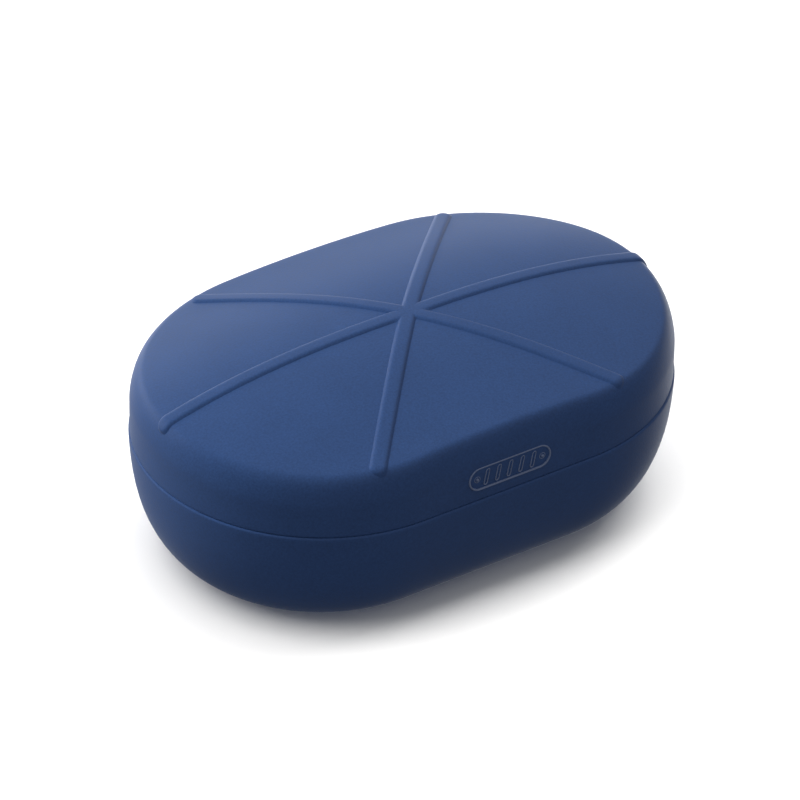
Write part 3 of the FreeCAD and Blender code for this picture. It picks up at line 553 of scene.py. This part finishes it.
# ---- assembly -------------------------------------------------------------------------

lid = lid_cover()
base = base_cover()
window = dict(half_wide=19.5, low=11.0, high=20.6, corner=1.5, near=12.0, far=26.0)
cut(lid, [cutter("window_lid", **window)])
cut(base, [cutter("window_base", **window),
           cutter("plug_way", half_wide=6.2, low=2.98, high=9.58, corner=3.28,
                  near=8.0, far=26.0)])
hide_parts("lid_sleeve")
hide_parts("base_sleeve")

for piece, body, finish in [(lid, "lid", "silicone"), (lid_ribs(), "lid", "silicone"),
                            (base, "case", "silicone"),
                            # the thumb grip's reliefs take the lighter silicone copy, a painted
                            # highlight
                            *((relief, "lid", "silicone_painted_highlight") for relief in thumb_grip())]:
    piece.data.transform(Matrix.Scale(MM, 4))
    piece.data.materials.append(MATERIALS[finish])
    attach(piece, body)

for part in frame["record"]["subparts"]:
    slots = nodes[part["node"]].data.materials
    slots.clear()
    slots.append(MATERIALS[part["material_slot"]])

for joint in frame["record"]["behaviour"]["joints"]:
    for deformed in joint.get("deforming_nodes", []):
        node = deformed["node"]
        coil = contact_spring(node)
        coil.data.transform(Matrix.Scale(MM, 4))
        coil.data.materials.append(MATERIALS["spring_steel"])
        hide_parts(node)
        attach(coil, "case")
        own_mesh(coil)


# ---- floor, light and camera ----------------------------------------------------------

def stage_piece(name, mesh, colour, glow=0.0):
    piece = bpy.data.objects.new(name, mesh)
    bpy.context.scene.collection.objects.link(piece)
    made = material(name, (colour, colour), 30, (0.9, 0.95), 0.0,
                    Emission_Color=(1, 1, 1, 1), Emission_Strength=glow)
    mesh.materials.append(made)
    piece.visible_diffuse = False
    return piece


def disc(radius, sides=96):
    mesh = bpy.data.meshes.new("disc")
    rim = [(radius * math.cos(turn), radius * math.sin(turn), 0)
           for turn in (2 * math.pi * i / sides for i in range(sides))]
    mesh.from_pydata(rim, [], [tuple(range(sides))])
    return mesh


def dome(radius):
    mesh = bpy.data.meshes.new("dome")
    shape = bmesh.new()
    bmesh.ops.create_uvsphere(shape, u_segments=48, v_segments=24, radius=radius)
    bmesh.ops.reverse_faces(shape, faces=shape.faces)
    shape.to_mesh(mesh)
    shape.free()
    mesh.shade_smooth()
    return mesh


floor = stage_piece("floor", disc(1.95), (0.96, 0.95, 0.935))
floor.visible_glossy = False
floor.location.z = -0.00001  # just clear of the flat underside
backdrop = stage_piece("backdrop", dome(2.0), (0.0, 0.0, 0.0), glow=1.05)
backdrop.visible_glossy = backdrop.visible_shadow = backdrop.visible_transmission = False


def studio():
    """Soft surroundings, bright behind and to the sides and dim in front and below."""
    world = bpy.data.worlds.new("studio")
    bpy.context.scene.world = world
    world.use_nodes = True
    tree = world.node_tree
    add, link = tree.nodes.new, tree.links.new
    where, split = add("ShaderNodeTexCoord"), add("ShaderNodeSeparateXYZ")
    link(where.outputs["Generated"], split.inputs[0])

    def towards(x, y):
        found = add("ShaderNodeVectorMath")
        found.operation = "DOT_PRODUCT"
        found.inputs[1].default_value = (x, y, 0)
        link(where.outputs["Generated"], found.inputs[0])
        return found.outputs["Value"]

    def ramp(source, lowest, highest, first, last):
        found = add("ShaderNodeMapRange")
        found.interpolation_type = "SMOOTHSTEP"
        for socket, setting in zip(("From Min", "From Max", "To Min", "To Max"),
                                   (lowest, highest, first, last)):
            if isinstance(setting, float):
                found.inputs[socket].default_value = setting
            else:
                link(setting, found.inputs[socket])
        link(source, found.inputs["Value"])
        return found.outputs["Result"]

    facing = towards(0.15, -0.99)
    low_back = ramp(towards(0.9, 0.43), 0.2, 0.9, 0.5, 2.7)
    high = ramp(facing, -0.5, 0.5, 0.7, 0.5)
    strip = ramp(towards(-0.25, 0.97), 0.62, 0.94, 0.55, 2.7)
    above = ramp(split.outputs["Z"], 0.2, 0.5, ramp(facing, -0.3, 0.3, strip, 0.22), high)
    below = ramp(split.outputs["Z"], -0.9, -0.4, 0.12, ramp(facing, -0.4, 0.2, low_back, 0.25))
    strength = ramp(split.outputs["Z"], -0.06, 0.02, below, above)
    link(strength, tree.nodes["Background"].inputs["Strength"])
    tree.nodes["Background"].inputs["Color"].default_value = (0.97, 0.98, 1.0, 1)


studio()


def lamp(name, strength, spread, source):
    """A soft distant light that comes from a direction."""
    made = bpy.data.lights.new(name, "SUN")
    made.energy, made.angle = strength, math.radians(spread)
    holder = bpy.data.objects.new(name, made)
    holder.rotation_euler = Vector(source).to_track_quat("Z", "Y").to_euler()
    bpy.context.scene.collection.objects.link(holder)
    return holder


def reach(light, name, state):
    """Let a light fall only on the floor, or on everything but the floor."""
    group = bpy.data.collections.new(name)
    group.objects.link(floor)
    light.light_linking.receiver_collection = group
    group.collection_objects[0].light_linking.link_state = state


key = lamp("key", 2.25, 24, (-0.47, 0.56, 0.66))
key.data.color = (1.0, 0.97, 0.92)
key.visible_glossy = False
reach(key, "not_floor", "EXCLUDE")
FLOOR_SPREAD = 42
for name, strength, source in (("floor_top", 1.15, (0, 0.1, 1)),
                               ("floor_left", 1.6, (-0.62, 0.1, 1)),
                               ("floor_right", 1.65, (0.68, 0.1, 1))):
    reach(lamp(name, strength, FLOOR_SPREAD, source), name, "INCLUDE")


def camera():
    """A long lens from the front left, a little above."""
    turn, lift, roll, away = (math.radians(-33.67), math.radians(35.53), math.radians(1.064),
                              0.671)
    back = Vector((math.sin(turn) * math.cos(lift), -math.cos(turn) * math.cos(lift),
                   math.sin(lift)))
    right = Vector((math.cos(turn), math.sin(turn), 0))
    up = back.cross(right)
    right, up = (right * math.cos(roll) + up * math.sin(roll),
                 up * math.cos(roll) - right * math.sin(roll))
    eye = bpy.data.cameras.new("camera")
    eye.lens, eye.sensor_width = 264.5, 36
    eye.clip_start, eye.clip_end = 0.01, 10
    holder = bpy.data.objects.new("camera", eye)
    bpy.context.scene.collection.objects.link(holder)
    lower, leftward, upward = 0.00023, 0.000385, 0.000845
    middle = (cad_low + cad_high) / 2
    spot = (Vector((0, 0, middle.z - lower)) + back * away
            - right * leftward + up * upward)
    holder.matrix_world = Matrix.Translation(spot) @ Matrix(
        (right, up, back)).transposed().to_4x4()
    bpy.context.scene.camera = holder


camera()
bpy.context.scene.view_settings.view_transform = "Standard"
